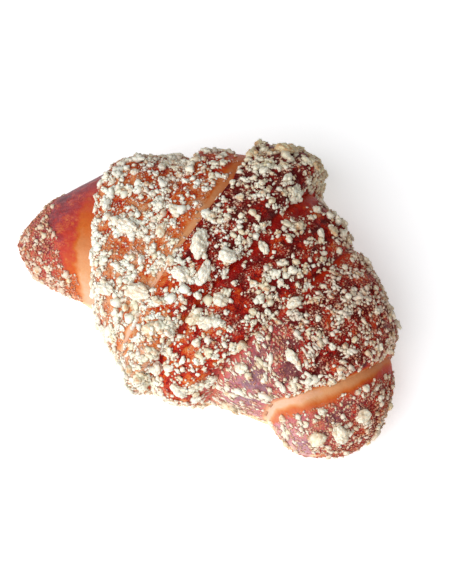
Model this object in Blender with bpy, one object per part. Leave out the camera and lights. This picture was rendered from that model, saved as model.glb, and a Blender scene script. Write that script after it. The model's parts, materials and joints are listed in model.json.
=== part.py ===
"""A crescent roll of yeast dough, baked with a streusel topping.

The roll is one solid: seven turns of dough that step down from the thick middle to
the two horns, with the large streusel crumbs fused to the crust.
X runs from horn to horn, +Y is the outer side of the bend, and Z = 0 is the tray.
"""

import math
import random

import bmesh
import bpy
from mathutils import Matrix, Vector, noise

MM = 0.001

# The bend: the turns fan out round one point, and the middle line of the roll is an arc round it.
BEND_CENTRE = Vector((-9.6, -78.9, 0.0)) * MM
BEND_RADIUS = 81.0 * MM

# The turns of dough, from the left horn to the right one. Each begins at three angles, in degrees
# round the bend from +Y towards +X: on the outer side, on the ridge and on the inner side.
# Widths run from the middle line to the outer and the inner side at the turn's thickest place,
# which lies at the share "thickest" of its length, and at the seam of a horn. "dip" is how deep
# the seam is where the turn begins, and "bare" the width of the band without crumbs on the horn's
# side of that seam, both again on the outer side, the ridge and the inner side. "crumb" is the
# size of the turn's largest crumbs, and "cover" how thickly they lie on it. "clumps" are its
# biggest clumps: the share along the turn, degrees round it from the outer side over the top,
# length, width, and the degrees that the clump is turned from lying along the turn. All sizes
# are in millimetres.
TURNS = (
    {  # left horn
        "begins": (-53.0, -53.0, -53.0), "bare": (0.0, 0.0, 0.0),
        "outer": 25.0, "inner": 25.5, "height": 30.0, "dip": (0.0, 0.0, 0.0),
        "crumb": 3.2, "cover": 0.3, "clumps": (),
    },
    {  # left shoulder
        "begins": (-27.0, -30.5, -28.0), "bare": (15.0, 16.0, 12.0),
        "outer": 30.5, "inner": 45.0, "height": 40.0, "dip": (3.0, 3.6, 4.4), "thickest": 0.56,
        "crumb": 5.0, "cover": 1.0,
        "clumps": ((0.54, 102, 9.0, 5.5, 160), (0.16, 92, 6.0, 3.6, 95), (0.35, 135, 8.5, 5.4, 5)),
    },
    {  # left middle
        "begins": (-12.0, -11.5, -13.0), "bare": (0.6, 1.2, 1.0),
        "outer": 38.5, "inner": 50.0, "height": 46.0, "dip": (1.8, 1.4, 2.4), "thickest": 0.38,
        "crumb": 4.6, "cover": 1.0,
        "clumps": ((0.28, 92, 7.5, 4.0, 145), (0.2, 101, 7.5, 4.0, 100), (0.5, 130, 11.0, 6.3, 15)),
    },
    {  # middle
        "begins": (-3.5, -1.5, -5.0), "bare": (4.5, 3.4, 3.0),
        "outer": 53.5, "inner": 57.5, "height": 52.0, "dip": (3.4, 3.0, 3.8), "thickest": 0.8,
        "crumb": 5.6, "cover": 1.3,
        "clumps": (
            (0.34, 100, 12.0, 7.0, 128), (0.42, 113, 9.0, 5.4, 5), (0.76, 107, 8.5, 3.8, 118),
            (0.88, 98, 7.0, 5.5, 25), (0.4, 36, 9.0, 5.5, 170), (0.54, 138, 7.7, 4.5, 47),
        ),
    },
    {  # right middle
        "begins": (9.0, 12.5, 18.0), "bare": (4.2, 3.5, 0.5),
        "outer": 40.0, "inner": 49.5, "height": 48.0, "dip": (6.0, 4.2, 3.0), "thickest": 0.6,
        "crumb": 4.6, "cover": 0.9,
        "clumps": (
            (0.19, 86, 6.0, 3.6, 160), (0.26, 112, 6.2, 4.9, 20), (0.42, 122, 6.8, 5.4, 78),
            (0.1, 126, 5.8, 4.9, 78), (0.1, 161, 6.3, 4.6, 100), (0.84, 166, 7.5, 4.5, 138),
        ),
    },
    {  # right shoulder
        "begins": (21.5, 28.5, 38.0), "bare": (2.5, 3.6, 6.0),
        "outer": 39.0, "inner": 29.0, "height": 42.0, "dip": (6.0, 5.0, 4.6), "thickest": 0.36,
        "crumb": 3.6, "cover": 0.5,
        "clumps": ((0.07, 88, 6.2, 4.5, 82), (0.6, 102, 6.2, 3.6, 10), (0.3, 137, 5.4, 4.0, 40)),
    },
    {  # right horn
        "begins": (40.0, 49.0, 47.0), "bare": (5.4, 4.6, 2.0),
        "outer": 31.0, "inner": 14.5, "height": 31.0, "dip": (5.0, 4.2, 4.6),
        "crumb": 4.6, "cover": 0.5,
        "clumps": ((0.8, 68, 9.5, 5.4, 50), (0.84, 90, 7.2, 5.9, 135), (0.6, 54, 6.5, 4.9, 138)),
    },
)
MIDDLE = 3
LAST = len(TURNS) - 1
RIGHT_TIP_AT = 60.5

# Each turn keeps a share of its own size up to its seams and takes the rest from its neighbours,
# so that the turns meet in steps, which are low where the roll rests on the tray.
STEP_SHARE = 0.55
BASE_STEP_SHARE = 0.2
# How squarely a turn rises at its lip, and where it comes out from under the next one: less is
# squarer.
LIP_POWER = 0.35
TUCKED_POWER = 0.6
# A turn dips by its full seam depth at its lip, and by this share of it where it comes out from
# under the next one.
TUCKED_DIP = 0.4

# The cross-section: widest at this share of its height, resting on this share of its width.
EQUATOR_SHARE = 0.38
BASE_SHARE = 0.86
BASE_SINE = math.sqrt(1.0 - BASE_SHARE**2)
SIDE_ROUNDNESS = 0.94
# The tips of the horns stand this high, and are pointed at 1 and round at 2, on the outer and
# the inner side.
TIP_HEIGHT = 9.0 * MM
LEFT_TIP_ROUNDNESS = (1.0, 2.4)
RIGHT_TIP_ROUNDNESS = (2.2, 2.0)

# The dough rises unevenly: the height and length of its lumps, and the section that they follow.
LUMP_HEIGHT = 1.3 * MM
LUMP_LENGTH = 15.0 * MM
SECTION_RADIUS = 25.0 * MM

# The mesh: rings stop this share of a turn's length short of its seams.
RINGS_PER_TURN = 10
STEPS_OVER_TOP = 28
STEPS_UNDER_BASE = 4
SEAM_GAP = 0.02
SHARP_ANGLE = math.radians(40.0)

# The crumbs. Each is the roomiest of a few random places, down to this many degrees below the
# widest line. Widths are shares of the length, and the height a share of the width.
CRUMB_COUNT = 150
CRUMB_SEED = 14
CRUMB_CHOICES = 5
CRUMBS_DOWN_TO = 14.0
SMALLEST_CRUMB = 2.6 * MM
CRUMB_WIDTHS = (0.65, 0.95)
CRUMB_TALL = 0.85
CRUMB_SUNK = 0.36
CRUMB_ROUGHNESS = 0.14

# A patch of crust: its corners lie this far apart, as a share of a turn and in radians round it.
# The widest has this area, in square metres per whole turn and radian.
PATCH_STEP = 0.01
WIDEST_PATCH = 0.0016

CRUST = {"colour": (0.36, 0.07, 0.02, 1.0), "roughness": 0.35}
STREUSEL = {"colour": (0.80, 0.66, 0.42, 1.0), "roughness": 0.9}


def mix(a, b, share):
    return a + (b - a) * share


def catmull(values, at):
    """The smooth curve through the values, one per whole step."""
    at = min(max(at, 0.0), len(values) - 1.0)
    i = min(int(at), len(values) - 2)
    t = at - i
    p0, p1, p2, p3 = (values[min(max(i + k, 0), len(values) - 1)] for k in (-1, 0, 1, 2))
    bend = 2 * p0 - 5 * p1 + 4 * p2 - p3
    twist = 3 * p1 - p0 - 3 * p2 + p3
    return 0.5 * (2 * p1 + (p2 - p0) * t + bend * t**2 + twist * t**3)


def over(three, across):
    """The smooth curve through three values: -1 is the outer side, 0 the ridge and 1 the inner side."""
    outer, ridge, inner = three
    return ridge + 0.5 * (inner - outer) * across + (0.5 * (inner + outer) - ridge) * across**2


def smooth_size(turn, q, key):
    """Width or height of the roll, in metres, as if it had no steps."""
    return catmull([t[key] for t in TURNS], turn + q - 0.5) * MM


def turn_size(turn, q, key, step_share=STEP_SHARE):
    """Width or height of a turn, in metres, at the share q of its length."""
    return mix(smooth_size(turn, q, key), TURNS[turn][key] * MM, step_share)


def swell(turn, q):
    """1 at the thickest place of a turn and 0 at its seams."""
    if turn == 0:
        return (1.0 - q**2) ** TUCKED_POWER
    if turn == LAST:
        return (1.0 - (1.0 - q) ** 2) ** TUCKED_POWER
    warped = q ** (math.log(0.5) / math.log(TURNS[turn]["thickest"]))
    first = LIP_POWER if turn <= MIDDLE else TUCKED_POWER
    last = LIP_POWER if turn >= MIDDLE else TUCKED_POWER
    return max(0.0, 4.0 * warped * (1.0 - warped)) ** mix(first, last, warped)


def seam_dip(turn, q, across):
    """Depth of the seams at both ends of a turn, and in between a mix of the two."""
    first = over(TURNS[turn]["dip"], across)
    last = over(TURNS[min(turn + 1, LAST)]["dip"], across)
    if turn < MIDDLE:
        last *= TUCKED_DIP
    if turn > MIDDLE:
        first *= TUCKED_DIP
    return mix(first, last, q) * MM


def tip_share(turn, q, across):
    """How far the section has narrowed towards the tip of a horn."""
    if turn == 0:
        to_tip, roundness = 1.0 - q, LEFT_TIP_ROUNDNESS
    elif turn == LAST:
        to_tip, roundness = q, RIGHT_TIP_ROUNDNESS
    else:
        return 1.0
    power = mix(roundness[0], roundness[1], 0.5 + 0.5 * across)
    return (1.0 - to_tip**power) ** (1.0 / power)


def turn_angle(turn, q, across):
    """Angle round the bend, in radians, at the share q of a turn."""
    begins = over(TURNS[turn]["begins"], across)
    ends = RIGHT_TIP_AT if turn == LAST else over(TURNS[turn + 1]["begins"], across)
    return math.radians(mix(begins, ends, q))


def crust_point(turn, q, phi):
    """A point of the crust: q along the turn, phi round it from the outer side over the top."""
    c, s = math.cos(phi), math.sin(phi)
    side = "outer" if c > 0 else "inner"
    below = min(1.0, max(0.0, -s / BASE_SINE))
    dip = seam_dip(turn, q, -c) * (1.0 - swell(turn, q))
    height = turn_size(turn, q, "height") - dip
    half = turn_size(turn, q, side, mix(STEP_SHARE, BASE_STEP_SHARE, below)) - dip
    sideways = half * math.copysign(abs(c) ** SIDE_ROUNDNESS, c)
    across = -sideways / smooth_size(turn, q, side)
    angle = turn_angle(turn, q, across)
    spot = Vector((angle * BEND_RADIUS, SECTION_RADIUS * c, SECTION_RADIUS * s))
    lump = LUMP_HEIGHT * noise.noise(spot / LUMP_LENGTH)
    sideways += lump * c
    equator = EQUATOR_SHARE * height
    if s >= 0:
        z = equator + (height - equator) * s**SIDE_ROUNDNESS + lump * s
    else:
        z = equator * (1.0 - below)
    narrow = tip_share(turn, q, across)
    sideways *= narrow
    z = TIP_HEIGHT + (z - TIP_HEIGHT) * narrow
    reach = BEND_RADIUS + sideways
    return BEND_CENTRE + Vector((reach * math.sin(angle), reach * math.cos(angle), z))


def section_angles():
    """Angles round the section: close together over the top, and few under the flat base."""
    base_edge = math.asin(BASE_SINE)
    top = [mix(-base_edge, math.pi + base_edge, i / STEPS_OVER_TOP) for i in range(STEPS_OVER_TOP)]
    base = [
        mix(math.pi + base_edge, 2 * math.pi - base_edge, i / STEPS_UNDER_BASE)
        for i in range(STEPS_UNDER_BASE)
    ]
    return top + base


def ring_places():
    """(turn, q) of each ring of the mesh, closer together near the seams and the tips."""
    places = []
    for turn in range(len(TURNS)):
        for i in range(RINGS_PER_TURN):
            share = i / (RINGS_PER_TURN - 1)
            if turn == 0:
                q = mix(1.0 / RINGS_PER_TURN, 1.0 - SEAM_GAP, math.sin(0.5 * math.pi * share))
            elif turn == LAST:
                q = mix(SEAM_GAP, 1.0 - 1.0 / RINGS_PER_TURN, 1.0 - math.cos(0.5 * math.pi * share))
            else:
                q = mix(SEAM_GAP, 1.0 - SEAM_GAP, 0.5 - 0.5 * math.cos(math.pi * share))
            places.append((turn, q))
    return places


def dough():
    """The bare roll: rings of points joined by quads, closed by a fan at each tip."""
    bm = bmesh.new()
    angles = section_angles()
    rings = [[bm.verts.new(crust_point(turn, q, phi)) for phi in angles] for turn, q in ring_places()]
    left_tip = bm.verts.new(crust_point(0, 0.0, 0.0))
    right_tip = bm.verts.new(crust_point(LAST, 1.0, 0.0))
    for i in range(len(angles)):
        j = (i + 1) % len(angles)
        for near, far in zip(rings, rings[1:]):
            bm.faces.new((near[i], near[j], far[j], far[i]))
        bm.faces.new((left_tip, rings[0][j], rings[0][i]))
        bm.faces.new((right_tip, rings[-1][i], rings[-1][j]))
    bmesh.ops.recalc_face_normals(bm, faces=bm.faces)
    mesh = bpy.data.meshes.new("roll")
    bm.to_mesh(mesh)
    bm.free()
    roll = bpy.data.objects.new("roll", mesh)
    bpy.context.scene.collection.objects.link(roll)
    return roll


def crust_frame(turn, q, phi):
    """Directions on the crust: along the turn, round it and straight out, and the area of a patch."""
    before, after = max(q - PATCH_STEP, 0.0), min(q + PATCH_STEP, 1.0)
    along = crust_point(turn, after, phi) - crust_point(turn, before, phi)
    sideways = crust_point(turn, q, phi + PATCH_STEP) - crust_point(turn, q, phi - PATCH_STEP)
    out = sideways.cross(along)
    patch = out.length / (4 * PATCH_STEP**2)
    out.normalize()
    along.normalize()
    return along, out.cross(along), out, patch


def is_bare(turn, q, phi):
    """Whether a place lies in the band without crumbs beside a seam."""
    if turn == MIDDLE:
        return False
    across = -math.cos(phi)
    seam, share = (turn + 1, 1.0 - q) if turn < MIDDLE else (turn, q)
    swept = turn_angle(turn, 1.0, across) - turn_angle(turn, 0.0, across)
    return share * swept * BEND_RADIUS < over(TURNS[seam]["bare"], across) * MM


def crumb_places():
    """Turn, share along it, angle round it, length, width and twist of each crumb."""
    places = []
    for turn, values in enumerate(TURNS):
        for q, degrees, length, width, turned in values["clumps"]:
            place = turn, q, math.radians(degrees), length * MM, width * MM, math.radians(turned)
            places.append(place)
    draw = random.Random(CRUMB_SEED)
    middles = [crust_point(*place[:3]) for place in places]
    while len(places) < CRUMB_COUNT:
        choices = []
        while len(choices) < CRUMB_CHOICES:
            turn = draw.randrange(len(TURNS))
            q = draw.random()
            phi = math.radians(draw.uniform(-CRUMBS_DOWN_TO, 180.0 + CRUMBS_DOWN_TO))
            likely = TURNS[turn]["cover"] * crust_frame(turn, q, phi)[3] / WIDEST_PATCH
            if draw.random() < likely and not is_bare(turn, q, phi):
                middle = crust_point(turn, q, phi)
                room = min((middle - other).length for other in middles)
                choices.append((room, turn, q, phi))
        room, turn, q, phi = max(choices)
        share = len(places) / CRUMB_COUNT
        length = mix(TURNS[turn]["crumb"] * MM, SMALLEST_CRUMB, share**0.5)
        width = length * draw.uniform(*CRUMB_WIDTHS)
        places.append((turn, q, phi, length, width, draw.uniform(0.0, math.pi)))
        middles.append(crust_point(turn, q, phi))
    return places


def crumb(number, place, finish):
    """One crumb: a rough stone of twenty faces that stands out of the crust."""
    turn, q, phi, length, width, turned = place
    along, sideways, out, _ = crust_frame(turn, q, phi)
    draw = random.Random(number)
    tall = CRUMB_TALL * width
    frame = Matrix((along, sideways, out)).transposed() @ Matrix.Rotation(turned, 3, "Z")
    middle = crust_point(turn, q, phi) + out * tall * (0.5 - CRUMB_SUNK)
    bm = bmesh.new()
    bmesh.ops.create_icosphere(bm, subdivisions=1, radius=0.5)
    for vert in bm.verts:
        rough = vert.co * draw.uniform(1.0 - CRUMB_ROUGHNESS, 1.0 + CRUMB_ROUGHNESS)
        vert.co = middle + frame @ Vector((rough.x * length, rough.y * width, rough.z * tall))
    mesh = bpy.data.meshes.new(f"crumb_{number}")
    bm.to_mesh(mesh)
    bm.free()
    mesh.materials.append(finish)
    return bpy.data.objects.new(mesh.name, mesh)


def fuse(roll, pieces):
    """Joins the pieces to the roll with one Boolean union, then removes them."""
    pile = bpy.data.collections.new("crumbs")
    bpy.context.scene.collection.children.link(pile)
    for piece in pieces:
        pile.objects.link(piece)
    union = roll.modifiers.new("crumbs", "BOOLEAN")
    union.operation = "UNION"
    union.operand_type = "COLLECTION"
    union.collection = pile
    union.solver = "EXACT"
    union.material_mode = "TRANSFER"
    evaluated = roll.evaluated_get(bpy.context.evaluated_depsgraph_get())
    bare = roll.data
    roll.data = bpy.data.meshes.new_from_object(evaluated)
    roll.modifiers.clear()
    for piece in pieces:
        bpy.data.objects.remove(piece)
    bpy.data.collections.remove(pile)
    bpy.data.meshes.remove(bare)
    roll.data.name = "roll"


def keep_largest_body(mesh):
    """Drops loose scraps, and the inner walls of hollows that the crumbs seal off."""
    bm = bmesh.new()
    bm.from_mesh(mesh)
    unseen = set(bm.verts)
    bodies = []
    while unseen:
        body = []
        reached = [unseen.pop()]
        while reached:
            vert = reached.pop()
            body.append(vert)
            neighbours = {edge.other_vert(vert) for edge in vert.link_edges} & unseen
            unseen -= neighbours
            reached.extend(neighbours)
        bodies.append(body)
    bodies.sort(key=len)
    for scrap in bodies[:-1]:
        bmesh.ops.delete(bm, geom=scrap, context="VERTS")
    bmesh.ops.triangulate(bm, faces=bm.faces)
    bm.to_mesh(mesh)
    bm.free()
    mesh.set_sharp_from_angle(angle=SHARP_ANGLE)


def material(name, colour, roughness):
    made = bpy.data.materials.new(name)
    made.use_nodes = True
    shader = made.node_tree.nodes["Principled BSDF"]
    shader.inputs["Base Color"].default_value = colour
    shader.inputs["Roughness"].default_value = roughness
    return made


def main():
    for obj in list(bpy.data.objects):
        bpy.data.objects.remove(obj)
    roll = dough()
    roll.data.shade_smooth()
    roll.data.materials.append(material("crust", **CRUST))
    streusel = material("streusel", **STREUSEL)
    fuse(roll, [crumb(number, place, streusel) for number, place in enumerate(crumb_places())])
    keep_largest_body(roll.data)


main()
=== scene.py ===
import json
import math
import random

import bmesh
import bpy
from mathutils import Matrix, Vector, noise

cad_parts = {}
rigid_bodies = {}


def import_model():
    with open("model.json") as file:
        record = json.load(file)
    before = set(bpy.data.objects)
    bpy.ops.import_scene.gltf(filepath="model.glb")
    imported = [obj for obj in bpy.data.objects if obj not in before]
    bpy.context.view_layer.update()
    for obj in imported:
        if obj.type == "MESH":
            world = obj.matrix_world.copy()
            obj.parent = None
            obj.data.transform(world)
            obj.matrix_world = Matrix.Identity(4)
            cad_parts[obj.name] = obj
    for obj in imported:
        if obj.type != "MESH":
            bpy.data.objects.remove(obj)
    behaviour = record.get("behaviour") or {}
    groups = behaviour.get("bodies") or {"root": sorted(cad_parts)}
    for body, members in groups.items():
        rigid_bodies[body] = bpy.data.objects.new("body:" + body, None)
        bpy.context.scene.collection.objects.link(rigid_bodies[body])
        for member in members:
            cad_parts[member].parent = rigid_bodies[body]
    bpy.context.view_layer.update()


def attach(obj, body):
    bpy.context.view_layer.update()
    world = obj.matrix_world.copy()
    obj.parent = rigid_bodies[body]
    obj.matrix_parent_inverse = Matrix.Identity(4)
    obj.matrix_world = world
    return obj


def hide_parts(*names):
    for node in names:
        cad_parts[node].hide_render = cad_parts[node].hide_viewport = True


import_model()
mm = 0.001

# The roll's form, as in the solid. Angles run in degrees round the bend, from the outer side's
# middle towards the right horn.
rollForm = {
    "bendCentre": Vector((-9.6, -78.9, 0.0)) * mm,
    "bendRadius": 81.0 * mm,
    "middleTurn": 3,
    "rightTipAt": 60.5,
    "stepShare": 0.55,  # how much of a turn's size is its own, and not the smooth roll's
    "baseStepShare": 0.2,
    "lipPower": 0.35,
    "tuckedPower": 0.6,
    "tuckedDip": 0.4,
    "equatorShare": 0.38,
    "baseShare": 0.86,
    "sideRoundness": 0.94,
    "tipHeight": 9.0 * mm,
    "leftTipRoundness": (1.0, 2.4),
    "rightTipRoundness": (2.2, 2.0),
    "lumpHeight": 1.3 * mm,
    "lumpLength": 15.0 * mm,
    "sectionRadius": 25.0 * mm,
}

# One row for each turn of dough, as in the solid, in degrees and millimetres. Where three values
# stand, they are for the outer side, the ridge and the inner side.
# begins: where round the bend its first seam is, dip: how deep that seam is, and bare: how wide the
# band without large crumbs is beside it. outer, inner and height: how far the turn reaches.
# thickest: where along the turn it is thickest. crumb: its longest scattered crumb, and cover: how
# thickly they lie. clumps: its big crumbs, as (share along the turn, angle round the section,
# length, width, turned by).
turns = [
    {  # left horn
        "begins": (-53.0, -53.0, -53.0), "bare": (0.0, 0.0, 0.0),
        "outer": 25.0, "inner": 25.5, "height": 30.0, "dip": (0.0, 0.0, 0.0),
        "crumb": 3.2, "cover": 0.3, "clumps": (),
    },
    {  # left shoulder
        "begins": (-27.0, -30.5, -28.0), "bare": (15.0, 16.0, 12.0),
        "outer": 30.5, "inner": 45.0, "height": 40.0, "dip": (3.0, 3.6, 4.4), "thickest": 0.56,
        "crumb": 5.0, "cover": 1.0,
        "clumps": ((0.54, 102, 9.0, 5.5, 160), (0.16, 92, 6.0, 3.6, 95), (0.35, 135, 8.5, 5.4, 5)),
    },
    {  # left middle
        "begins": (-12.0, -11.5, -13.0), "bare": (0.6, 1.2, 1.0),
        "outer": 38.5, "inner": 50.0, "height": 46.0, "dip": (1.8, 1.4, 2.4), "thickest": 0.38,
        "crumb": 4.6, "cover": 1.0,
        "clumps": ((0.28, 92, 7.5, 4.0, 145), (0.2, 101, 7.5, 4.0, 100), (0.5, 130, 11.0, 6.3, 15)),
    },
    {  # middle
        "begins": (-3.5, -1.5, -5.0), "bare": (4.5, 3.4, 3.0),
        "outer": 53.5, "inner": 57.5, "height": 52.0, "dip": (3.4, 3.0, 3.8), "thickest": 0.8,
        "crumb": 5.6, "cover": 1.3,
        "clumps": (
            (0.34, 100, 12.0, 7.0, 128), (0.42, 113, 9.0, 5.4, 5), (0.76, 107, 8.5, 3.8, 118),
            (0.88, 98, 7.0, 5.5, 25), (0.4, 36, 9.0, 5.5, 170), (0.54, 138, 7.7, 4.5, 47),
        ),
    },
    {  # right middle
        "begins": (9.0, 12.5, 18.0), "bare": (4.2, 3.5, 0.5),
        "outer": 40.0, "inner": 49.5, "height": 48.0, "dip": (6.0, 4.2, 3.0), "thickest": 0.6,
        "crumb": 4.6, "cover": 0.9,
        "clumps": (
            (0.19, 86, 6.0, 3.6, 160), (0.26, 112, 6.2, 4.9, 20), (0.42, 122, 6.8, 5.4, 78),
            (0.1, 126, 5.8, 4.9, 78), (0.1, 161, 6.3, 4.6, 100), (0.84, 166, 7.5, 4.5, 138),
        ),
    },
    {  # right shoulder
        "begins": (21.5, 28.5, 38.0), "bare": (2.5, 3.6, 6.0),
        "outer": 39.0, "inner": 29.0, "height": 42.0, "dip": (6.0, 5.0, 4.6), "thickest": 0.36,
        "crumb": 3.6, "cover": 0.5,
        "clumps": ((0.07, 88, 6.2, 4.5, 82), (0.6, 102, 6.2, 3.6, 10), (0.3, 137, 5.4, 4.0, 40)),
    },
    {  # right horn
        "begins": (40.0, 49.0, 47.0), "bare": (5.4, 4.6, 2.0),
        "outer": 31.0, "inner": 14.5, "height": 31.0, "dip": (5.0, 4.2, 4.6),
        "crumb": 4.6, "cover": 0.5,
        "clumps": ((0.8, 68, 9.5, 5.4, 50), (0.84, 90, 7.2, 5.9, 135), (0.6, 54, 6.5, 4.9, 138)),
    },
]
middleTurn = rollForm["middleTurn"]
lastTurn = len(turns) - 1
baseSine = math.sqrt(1.0 - rollForm["baseShare"] ** 2)


def mix(a, b, share):
    return a + (b - a) * share


def ease(low, high, value):
    share = min(1.0, max(0.0, (value - low) / (high - low)))
    return share * share * (3.0 - 2.0 * share)


def smoothThrough(values, at):
    # the smooth curve through the values, one for each whole step
    at = min(max(at, 0.0), len(values) - 1.0)
    i = min(int(at), len(values) - 2)
    t = at - i
    p0, p1, p2, p3 = (values[min(max(i + k, 0), len(values) - 1)] for k in (-1, 0, 1, 2))
    bend = 2 * p0 - 5 * p1 + 4 * p2 - p3
    twist = 3 * p1 - p0 - 3 * p2 + p3
    return 0.5 * (2 * p1 + (p2 - p0) * t + bend * t**2 + twist * t**3)


def over(three, across):
    # outer side at -1, ridge at 0, inner side at 1
    outer, ridge, inner = three
    return ridge + 0.5 * (inner - outer) * across + (0.5 * (inner + outer) - ridge) * across**2


def smoothSize(turn, q, key):
    return smoothThrough([t[key] for t in turns], turn + q - 0.5) * mm


def turnSize(turn, q, key, stepShare):
    return mix(smoothSize(turn, q, key), turns[turn][key] * mm, stepShare)


def swell(turn, q):
    # 1 where a turn is thickest, 0 at its seams
    lip, tucked = rollForm["lipPower"], rollForm["tuckedPower"]
    if turn == 0:
        return (1.0 - q**2) ** tucked
    if turn == lastTurn:
        return (1.0 - (1.0 - q) ** 2) ** tucked
    warped = q ** (math.log(0.5) / math.log(turns[turn]["thickest"]))
    first = lip if turn <= middleTurn else tucked
    last = lip if turn >= middleTurn else tucked
    return max(0.0, 4.0 * warped * (1.0 - warped)) ** mix(first, last, warped)


def seamDip(turn, q, across):
    first = over(turns[turn]["dip"], across)
    last = over(turns[min(turn + 1, lastTurn)]["dip"], across)
    if turn < middleTurn:
        last *= rollForm["tuckedDip"]
    if turn > middleTurn:
        first *= rollForm["tuckedDip"]
    return mix(first, last, q) * mm


def tipShare(turn, q, across):
    if turn == 0:
        toTip, roundness = 1.0 - q, rollForm["leftTipRoundness"]
    elif turn == lastTurn:
        toTip, roundness = q, rollForm["rightTipRoundness"]
    else:
        return 1.0
    power = mix(roundness[0], roundness[1], 0.5 + 0.5 * across)
    return (1.0 - toTip**power) ** (1.0 / power)


def turnAngle(turn, q, across):
    begins = over(turns[turn]["begins"], across)
    ends = rollForm["rightTipAt"] if turn == lastTurn else over(turns[turn + 1]["begins"], across)
    return math.radians(mix(begins, ends, q))


def crustPoint(turn, q, phi):
    c, s = math.cos(phi), math.sin(phi)
    side = "outer" if c > 0 else "inner"
    below = min(1.0, max(0.0, -s / baseSine))
    dip = seamDip(turn, q, -c) * (1.0 - swell(turn, q))
    height = turnSize(turn, q, "height", rollForm["stepShare"]) - dip
    sideShare = mix(rollForm["stepShare"], rollForm["baseStepShare"], below)
    half = turnSize(turn, q, side, sideShare) - dip
    sideways = half * math.copysign(abs(c) ** rollForm["sideRoundness"], c)
    across = -sideways / smoothSize(turn, q, side)
    angle = turnAngle(turn, q, across)
    radius = rollForm["sectionRadius"]
    spot = Vector((angle * rollForm["bendRadius"], radius * c, radius * s))
    lump = rollForm["lumpHeight"] * noise.noise(spot / rollForm["lumpLength"])
    sideways += lump * c
    equator = rollForm["equatorShare"] * height
    if s >= 0:
        z = equator + (height - equator) * s ** rollForm["sideRoundness"] + lump * s
    else:
        z = equator * (1.0 - below)
    narrow = tipShare(turn, q, across)
    sideways *= narrow
    z = rollForm["tipHeight"] + (z - rollForm["tipHeight"]) * narrow
    reach = rollForm["bendRadius"] + sideways
    return rollForm["bendCentre"] + Vector((reach * math.sin(angle), reach * math.cos(angle), z))


def srgb(red, green, blue):
    channels = []
    for value in (red, green, blue):
        share = value / 255.0
        channels.append(share / 12.92 if share <= 0.04045 else ((share + 0.055) / 1.055) ** 2.4)
    return (*channels, 1.0)


class Nodes:
    # adds nodes to a tree and links them by name
    def __init__(self, tree):
        self.tree = tree

    def feed(self, node, key, value):
        if isinstance(value, bpy.types.NodeSocket):
            self.tree.links.new(value, node.inputs[key])
        else:
            node.inputs[key].default_value = value

    def put(self, kind, inputs=(), **settings):
        node = self.tree.nodes.new(kind)
        for key, value in settings.items():
            setattr(node, key, value)
        for key, value in dict(inputs).items():
            self.feed(node, key, value)
        return node

    def math(self, operation, a, b=0.0, c=0.0):
        return self.put("ShaderNodeMath", {0: a, 1: b, 2: c}, operation=operation).outputs[0]

    def times(self, a, b):
        return self.math("MULTIPLY", a, b)

    def plus(self, a, b, share):
        # a and a share of b
        return self.math("MULTIPLY_ADD", b, share, a)

    def spread(self, value, low, high, toLow=0.0, toHigh=1.0):
        inputs = {"Value": value, "From Min": low, "From Max": high, "To Min": toLow, "To Max": toHigh}
        return self.put("ShaderNodeMapRange", inputs).outputs["Result"]


class Material(Nodes):
    def __init__(self, name):
        self.material = bpy.data.materials.new(name)
        self.material.use_nodes = True
        super().__init__(self.material.node_tree)

    def finish(self, inputs):
        for key, value in inputs.items():
            self.feed(self.tree.nodes["Principled BSDF"], key, value)
        return self.material

    def noise(self, size, detail, roughness, where):
        # size is the length of one lump in metres
        inputs = {"Vector": where, "Scale": 1.0 / size, "Detail": detail, "Roughness": roughness}
        return self.put("ShaderNodeTexNoise", inputs).outputs["Fac"]

    def evenNoise(self, kind, where):
        # noise about zero
        return self.math("SUBTRACT", self.noise(*kind, where), 0.5)

    def objectPlace(self):
        return self.put("ShaderNodeTexCoord").outputs["Object"]

    def attribute(self, name, output="Fac"):
        return self.put("ShaderNodeAttribute", attribute_name=name).outputs[output]

    def ramp(self, value, stops):
        node = self.put("ShaderNodeValToRGB", {"Fac": value})
        elements = node.color_ramp.elements
        while len(elements) < len(stops):
            elements.new(0.5)
        for element, (at, colour) in zip(elements, stops):
            element.position = at
            element.color = colour
        return node.outputs["Color"]

    def blend(self, share, a, b):
        return self.put("ShaderNodeMix", {"Factor": share, 6: a, 7: b}, data_type="RGBA").outputs[2]

    def bump(self, height, strength, distance, under=None):
        inputs = {"Height": height, "Strength": strength, "Distance": distance}
        if under:
            inputs["Normal"] = under
        return self.put("ShaderNodeBump", inputs).outputs["Normal"]


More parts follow.
